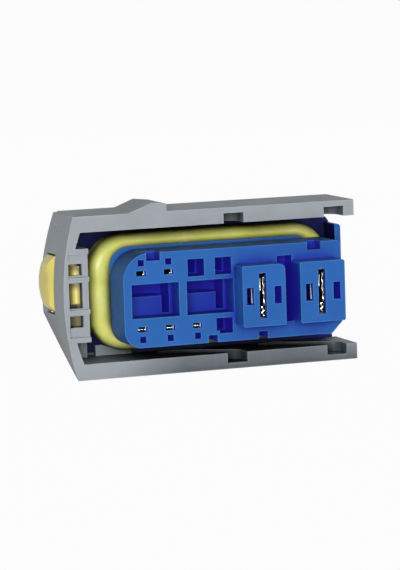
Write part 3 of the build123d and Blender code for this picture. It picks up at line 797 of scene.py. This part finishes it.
# Sprung leaves: their rolled front edges show in each tall slit as two thin wavy lines in the
# upper half and a bright zigzag at the foot, with the dark box between them. A line is a sine
# over its height, given by its x, the sine's swing and pitch, its two ends in z and its width,
# all from the middle of the contact's front.
leaf_lines = {
    "left": (-0.00022, 0.00004, 0.0034, 0.0009, 0.0029, 0.00008),
    "right": (0.00032, 0.00006, 0.0015, 0.0000, 0.0032, 0.00007),
    "foot": (0.00014, 0.00016, 0.0009, -0.0036, -0.0020, 0.00011),
    "middle": (0.00040, 0.00002, 0.0015, -0.0018, -0.0001, 0.00004),
}
leaf_front, leaf_slope, leaf_dip, leaf_sheet_mm = 0.0001, 0.36, 0.00003, 0.05
# The sleeve's locking lance is bent out into the left release window, as a parabola across, and
# is wider at its foot
lance_x, lance_front, lance_bend, lance_sheet_mm = -0.00202, 0.00006, 0.0003, 0.06
lance_half_height, lance_width, lance_taper = 0.00135, 0.00026, 0.06
for number in power_numbers:
    contact_x, front_y, contact_z = front_middle(f"power_contact_{number}")
    for line_name, (offset, swing, pitch, low_z, high_z, width) in leaf_lines.items():
        height, across = sheet_grid((low_z, high_z, 80), (-0.5, 0.5, 7))
        wave = np.sin(2 * math.pi * height / pitch + number)
        strip_piece(
            f"power_leaf_{line_name}_{number}",
            contact_x + offset + swing * wave + width * across,
            front_y - leaf_front - leaf_slope * width * across + leaf_dip * (1 - wave),
            contact_z + height,
            leaf_sheet_mm,
        )
    height, across = sheet_grid((-lance_half_height, lance_half_height, 40), (0, 1, 8))
    strip_piece(
        f"sleeve_lance_{number}",
        contact_x + lance_x + (lance_width - lance_taper * height) * across,
        front_y - lance_front + lance_bend * (1 - across) ** 2,
        contact_z + height,
        lance_sheet_mm,
    )

# Wire seals: ribbed plugs of brick-brown silicone, moulded one by one. Each is slid over its wire
# and pressed into its bore, where the rear cover keeps it.

# Brown silicone with the same oily gloss: it looks wet on its ribs
brown_silicone = oiled_silicone(
    "brown silicone, oiled", dark="#8A4A22", light="#A8602E", roughness=0.4
)
signal_wire_radius, power_wire_radius = 0.0008, 0.0019
rib_count = 3
rib_height = 0.00035
tail_length, tail_wall = 0.0009, 0.00035


def ribbed_seal(node, bore):
    """A plug turned round its own axis: the radius swells to each rib as a squared cosine and
    falls to the tail's, then the profile comes back along the bore."""
    low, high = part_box(node)
    radius = (high.x - low.x) / 2
    middle_x, middle_z = (low.x + high.x) / 2, (low.z + high.z) / 2
    body_back = high.y - tail_length
    share = np.linspace(0, 1, 61)
    ribs = radius - rib_height * np.cos(math.pi * rib_count * share) ** 2
    body_y = low.y + share * (body_back - low.y)
    profile_y = np.concatenate([body_y, [body_back, high.y, high.y, low.y]])
    profile_r = np.concatenate([ribs, [bore + tail_wall, bore + tail_wall, bore, bore]])
    angle = np.linspace(0, 2 * math.pi, 48, endpoint=False)
    x = middle_x + profile_r[:, None] * np.cos(angle)
    z = middle_z + profile_r[:, None] * np.sin(angle)
    y = np.repeat(profile_y[:, None], len(angle), 1)
    seal = surface_piece(
        f"ribbed_{node}",
        np.stack([x, y, z], -1),
        grid_faces(*x.shape),
        brown_silicone,
        "plug",
    )
    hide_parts(node)


for number in signal_numbers:
    ribbed_seal(f"signal_wire_seal_{number}", signal_wire_radius)
for number in power_numbers:
    ribbed_seal(f"power_wire_seal_{number}", power_wire_radius)

# Floor: a wide sheet of matt white paper, spread under the connector. It is seen almost white and
# keeps only a faint shadow.
floor_level = cad_box[0][2]
floor_half = 8.0
floor_mesh = bpy.data.meshes.new("floor")
floor_mesh.from_pydata(
    [
        (-floor_half, -floor_half, floor_level),
        (floor_half, -floor_half, floor_level),
        (floor_half, floor_half, floor_level),
        (-floor_half, floor_half, floor_level),
    ],
    [],
    [(0, 1, 2, 3)],
)
floor = bpy.data.objects.new("floor", floor_mesh)
bpy.context.scene.collection.objects.link(floor)


def background_rays(tree):
    """1 for the rays that show a background: the camera's, and those by gloss or through glass."""
    rays = add_node(tree, "ShaderNodeLightPath").outputs
    mirrored = add_node(
        tree,
        "ShaderNodeMath",
        {0: rays["Is Glossy Ray"], 1: rays["Is Transmission Ray"]},
        operation="MAXIMUM",
    )
    seen = add_node(
        tree,
        "ShaderNodeMath",
        {0: rays["Is Camera Ray"], 1: mirrored.outputs[0]},
        operation="MAXIMUM",
    )
    return seen.outputs[0]


# White paper: where it is seen it is nearly all white, and the small rest shows the shadow
white_share = 0.97
paper, paper_tree, paper_output = new_material("white paper")
paper_diffuse = add_node(paper_tree, "ShaderNodeBsdfDiffuse", {"Color": linear("#A4A4A4")})
paper_glow = add_node(
    paper_tree, "ShaderNodeEmission", {"Color": linear("#FFFFFF"), "Strength": 1.0}
)
paper_share = add_node(
    paper_tree,
    "ShaderNodeMath",
    {0: background_rays(paper_tree), 1: white_share},
    operation="MULTIPLY",
)
paper_mix = add_node(
    paper_tree,
    "ShaderNodeMixShader",
    {0: paper_share.outputs[0], 1: paper_diffuse.outputs[0], 2: paper_glow.outputs[0]},
)
paper_tree.links.new(paper_mix.outputs[0], paper_output.inputs["Surface"])
floor_mesh.materials.append(paper)

# Studio light: a large soft box left of the camera, weak ones to the right and above, two behind
# and a room that lights the connector as a dim grey and is white where it is seen.
middle = (-0.003, 0.008, 0.0)


def placed(place, side, up, back):
    """The matrix that puts a lamp or camera at place: its x is side, its y is up, its z is back."""
    turn = Matrix([(*row,) for row in np.stack([side, up, back], 1)])
    return Matrix.Translation(place) @ turn.to_4x4()


def soft_box(name, place, size, watts):
    """A square area light at place, size metres wide, turned towards the connector."""
    light = bpy.data.lights.new(name, "AREA")
    light.size = size
    light.energy = watts
    lamp = bpy.data.objects.new(name, light)
    away = np.array(place) - np.array(middle)
    away = away / np.linalg.norm(away)
    side = np.cross((0.0, 0.0, 1.0), away)
    side = side / np.linalg.norm(side)
    lamp.matrix_world = placed(place, side, np.cross(away, side), away)
    bpy.context.scene.collection.objects.link(lamp)
    return lamp


soft_box("key soft box", place=(-0.27, -0.6, 0.04), size=0.3, watts=5.0)
soft_box("right soft box", place=(0.5, -0.4, 0.2), size=0.35, watts=0.45)
soft_box("top soft box", place=(0.1, 0.1, 0.7), size=0.5, watts=0.12)
# The two behind the connector light its wire side and leave no glare on its top
for name, place in (
    ("rear left soft box", (-0.16, 0.64, 0.06)),
    ("rear right soft box", (0.5, 0.42, 0.06)),
):
    soft_box(name, place, size=0.3, watts=1.4).visible_glossy = False
room = bpy.data.worlds.new("studio room")
room.use_nodes = True
bpy.context.scene.world = room
room_tree = room.node_tree
room_tree.nodes.clear()
room_grey = add_node(
    room_tree, "ShaderNodeBackground", {"Color": linear("#D8DCE2"), "Strength": 0.11}
)
room_white = add_node(
    room_tree, "ShaderNodeBackground", {"Color": linear("#FFFFFF"), "Strength": 1.0}
)
room_mix = add_node(
    room_tree,
    "ShaderNodeMixShader",
    {0: background_rays(room_tree), 1: room_grey.outputs[0], 2: room_white.outputs[0]},
)
room_output = add_node(room_tree, "ShaderNodeOutputWorld")
room_tree.links.new(room_mix.outputs[0], room_output.inputs["Surface"])

# Camera: half a metre off, a little to the left and above, as the photo was taken. Its place and
# turn were worked out from the contact grid and the slide's corners.
camera_place = (-0.17655, -0.48294, 0.06119)
camera_yaw = math.radians(19.425)
camera_pitch = math.radians(-6.670)
camera_roll = math.radians(-1.797)
focal_pixels = 2981.0
frame_height_pixels = 570
sensor_mm = 36.0
forward = np.array(
    [
        math.sin(camera_yaw) * math.cos(camera_pitch),
        math.cos(camera_yaw) * math.cos(camera_pitch),
        math.sin(camera_pitch),
    ]
)
level = np.array([math.cos(camera_yaw), -math.sin(camera_yaw), 0.0])
upward = np.cross(level, forward)
right = math.cos(camera_roll) * level + math.sin(camera_roll) * upward
top = -math.sin(camera_roll) * level + math.cos(camera_roll) * upward
lens = bpy.data.cameras.new("camera")
lens.sensor_fit = "AUTO"
lens.sensor_width = sensor_mm
lens.lens = focal_pixels * sensor_mm / frame_height_pixels
camera = bpy.data.objects.new("camera", lens)
camera.matrix_world = placed(camera_place, right, top, -forward)
bpy.context.scene.collection.objects.link(camera)
bpy.context.scene.camera = camera
bpy.context.scene.view_settings.view_transform = "Standard"
